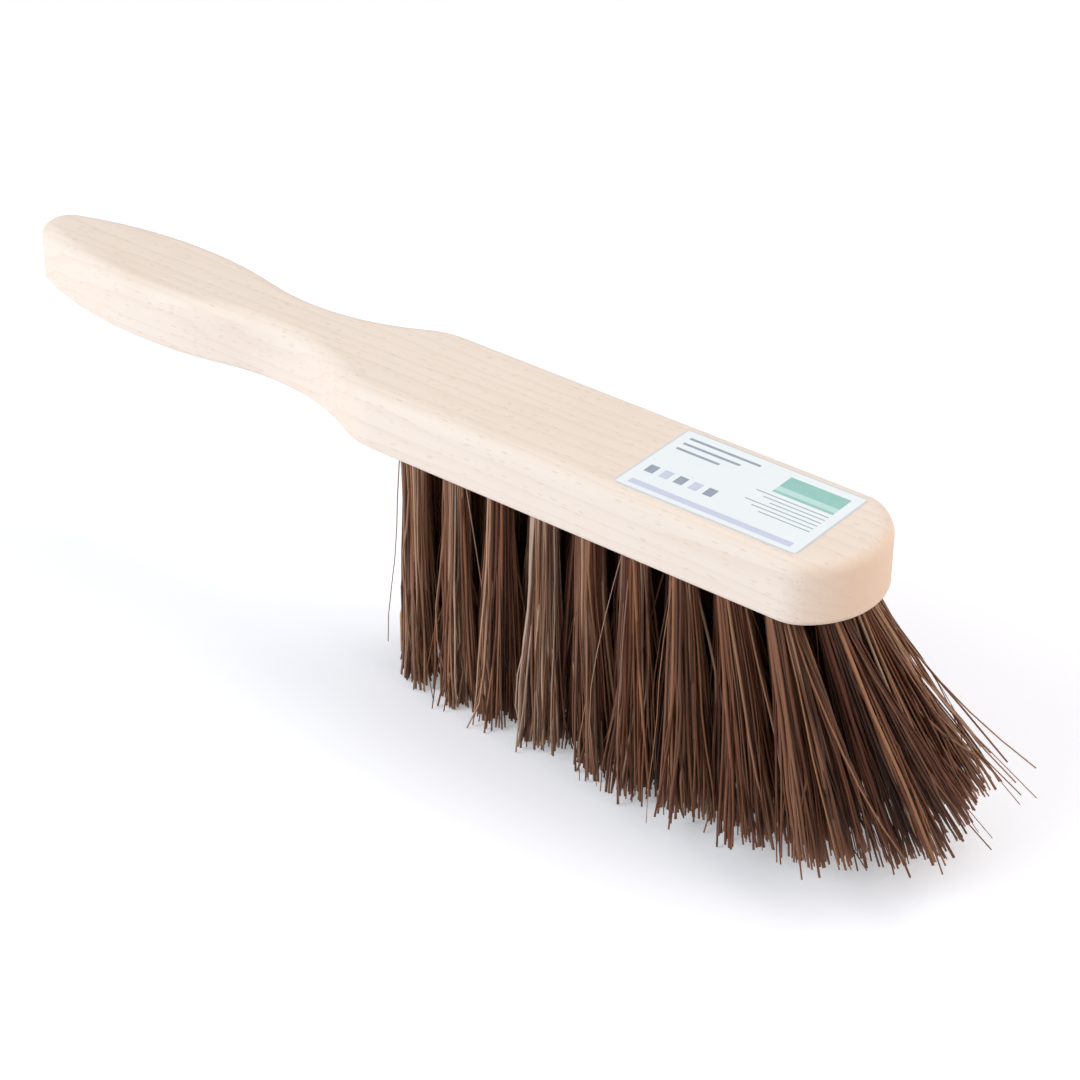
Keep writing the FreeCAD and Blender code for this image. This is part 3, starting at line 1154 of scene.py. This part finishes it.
def tube_mesh(name: str, paths: np.ndarray, radii: np.ndarray, sides: int) -> bpy.types.Mesh:
    """Closed round tubes along many paths, as one mesh.

    A ring point is the path's point plus the radius times the cosine and sine of its angle along two
    directions square to the path there.

    Args:
        name: The mesh's name.
        paths: Points as tubes by rings by three.
        radii: Radii as tubes by rings.
        sides: Points in a ring.

    Returns:
        The mesh.
    """
    tubes, rings, _ = paths.shape
    tangent = np.gradient(paths, axis=1)
    tangent /= np.linalg.norm(tangent, axis=2, keepdims=True)
    first = np.cross(tangent, np.array((0.0, 1.0, 0.0)))
    first /= np.linalg.norm(first, axis=2, keepdims=True)
    second = np.cross(tangent, first)
    angle = np.arange(sides) * math.tau / sides
    around = first[:, :, None, :] * np.cos(angle)[:, None] + second[:, :, None, :] * np.sin(angle)[:, None]
    points = paths[:, :, None, :] + radii[:, :, None, None] * around

    index = np.arange(tubes * rings * sides).reshape(tubes, rings, sides)
    turned = np.roll(index, -1, axis=2)
    corners = (index[:, :-1], turned[:, :-1], turned[:, 1:], index[:, 1:])
    walls = np.stack(corners, axis=-1).reshape(-1, len(corners))
    caps = np.concatenate((index[:, 0, ::-1], index[:, -1, :]))

    loops = np.concatenate((walls.ravel(), caps.ravel()))
    wall_starts = np.arange(len(walls)) * len(corners)
    starts = np.concatenate((wall_starts, walls.size + np.arange(len(caps)) * sides))
    smooth = np.arange(len(starts)) < len(walls)
    mesh = bpy.data.meshes.new(name)
    mesh.vertices.add(index.size)
    mesh.loops.add(len(loops))
    mesh.polygons.add(len(starts))
    mesh.vertices.foreach_set("co", points.astype(np.float32).ravel())
    mesh.loops.foreach_set("vertex_index", loops.astype(np.int32))
    mesh.polygons.foreach_set("loop_start", starts.astype(np.int32))
    mesh.polygons.foreach_set("use_smooth", smooth)
    mesh.update(calc_edges=True)
    mesh.validate()
    return mesh


@dataclass(frozen=True)
class Woodwork:
    """The pieces that keep their CAD nodes: the stock, its anchors and its label."""

    stock: str = "stock"
    anchors: str = "anchors"
    label: str = "label"

    def dress(self, effects: SharedEffects) -> None:
        """Give each node its finish.

        Args:
            effects: The shared node groups.
        """
        low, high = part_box(self.label)
        half = (high - low) / 2
        finishes = {
            self.stock: WoodFinish().material(effects),
            self.anchors: WireFinish().material(effects),
            self.label: PaperFinish().material(effects, (low + high) / 2, (half.x, half.y)),
        }
        for node, material in finishes.items():
            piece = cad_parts[node]
            piece.data.materials.clear()
            piece.data.materials.append(material)
            log.info("%s: %s", node, material.name)

    def nose(self) -> np.ndarray:
        """The toe's foremost point on the underside of the stock."""
        low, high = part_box(self.stock)
        return np.array((high.x, 0.0, low.z))


@dataclass(frozen=True)
class Lamp:
    """A soft box on a line from the broom: its direction, distance, size and brightness on a white card."""

    name: str
    azimuth: float
    elevation: float
    level: float
    colour: Colour = WHITE
    distance: float = 1.3
    size: float = 0.9

    def build(self, middle: Vector) -> None:
        """Hang the lamp, pointed at the broom.

        A lamp of a given power lights a facing white card at its power over pi squared times the distance
        squared.

        Args:
            middle: The point that it lights.
        """
        light = bpy.data.lights.new(self.name, "AREA")
        light.shape = "DISK"
        light.size = self.size
        light.color = self.colour
        light.energy = self.level * math.pi**2 * self.distance**2
        away = bearing(self.azimuth, self.elevation)
        lamp = new_object(self.name, light)
        lamp.location = middle + away * self.distance
        lamp.rotation_euler = away.to_track_quat("Z", "Y").to_euler()


@dataclass(frozen=True)
class Studio:
    """A white table under soft light."""

    floor_half: float = 4.0
    sky: Colour = (0.86, 0.93, 1.0)
    sky_level: float = 0.285
    lamps: tuple[Lamp, ...] = (
        Lamp("back_toe_lamp", azimuth=145.0, elevation=58.0, level=0.27, colour=(1.0, 0.96, 0.91)),
        Lamp("back_heel_lamp", azimuth=205.0, elevation=58.0, level=0.10, colour=(1.0, 0.96, 0.91)),
        Lamp("front_lamp", azimuth=-30.0, elevation=25.0, level=0.82, colour=(0.89, 0.965, 1.0), size=1.2),
        Lamp("toe_lamp", azimuth=98.0, elevation=34.0, level=0.33, colour=(1.0, 0.92, 0.84), size=0.8),
    )

    def build(self) -> None:
        """Lay the floor, light the scene and set the view transform."""
        half = self.floor_half
        corners = [(-half, -half, 0.0), (half, -half, 0.0), (half, half, 0.0), (-half, half, 0.0)]
        mesh = bpy.data.meshes.new("floor")
        mesh.from_pydata(corners, [], [(0, 1, 2, 3)])
        mesh.materials.append(FloorFinish().material())
        floor = new_object("floor", mesh)

        world = bpy.data.worlds.new("white_room")
        bpy.context.scene.world = world
        world.use_nodes = True
        recipe = Recipe(world.node_tree)
        light = recipe.fill(recipe.add("ShaderNodeBackground"), Color=self.sky, Strength=self.sky_level)
        white = recipe.fill(recipe.add("ShaderNodeBackground"), Color=WHITE)
        both = recipe.blend(seen_rays(recipe), light.outputs[0], white.outputs[0])
        recipe.finish(both, "ShaderNodeOutputWorld")

        low, high = cad_box
        for lamp in self.lamps:
            lamp.build((low + high) / 2)
            log.info("%s: level %.2f", lamp.name, lamp.level)
        bpy.context.scene.view_settings.view_transform = "Standard"


@dataclass(frozen=True)
class PhotoCamera:
    """The camera of the photograph, for a square picture."""

    aim: tuple[float, float, float] = (0.05938, -0.04419, 0.08550)
    azimuth: float = 38.07
    elevation: float = 32.28
    roll: float = -0.46
    distance: float = 0.7675
    lens: float = 102.2
    sensor: float = 36.0

    def build(self) -> None:
        """Set up the camera: it looks at the aim from its azimuth and elevation, turned by its roll."""
        turn = math.radians(self.azimuth)
        back = bearing(self.azimuth, self.elevation)
        spin = Matrix.Rotation(math.radians(-self.roll), 3, back)
        right = spin @ Vector((math.cos(turn), math.sin(turn), 0.0))
        up = back.cross(right)
        data = bpy.data.cameras.new("photo_camera")
        data.lens = self.lens
        data.sensor_width = self.sensor
        camera = new_object("photo_camera", data)
        turned = Matrix((right, up, back)).transposed().to_4x4()
        camera.matrix_world = Matrix.Translation(Vector(self.aim) + back * self.distance) @ turned
        bpy.context.scene.camera = camera


def main() -> None:
    """Build the camera, the broom and the studio in order."""
    logging.basicConfig(level=logging.INFO, format="%(name)s %(message)s")
    PhotoCamera().build()
    effects = SharedEffects()
    woodwork = Woodwork()
    woodwork.dress(effects)
    nose = woodwork.nose()
    bristles = Bristles(nose=nose, height=float(nose[2]), shape=FibreShape())
    fibre = FibreFinish().material(effects)
    for seed, tuft in enumerate(bristles.tufts()):
        piece = bristles.build(tuft, seed, fibre)
        log.info("%s: %d faces", piece.name, len(piece.data.polygons))
    Studio().build()


if __name__ == "__main__":
    main()
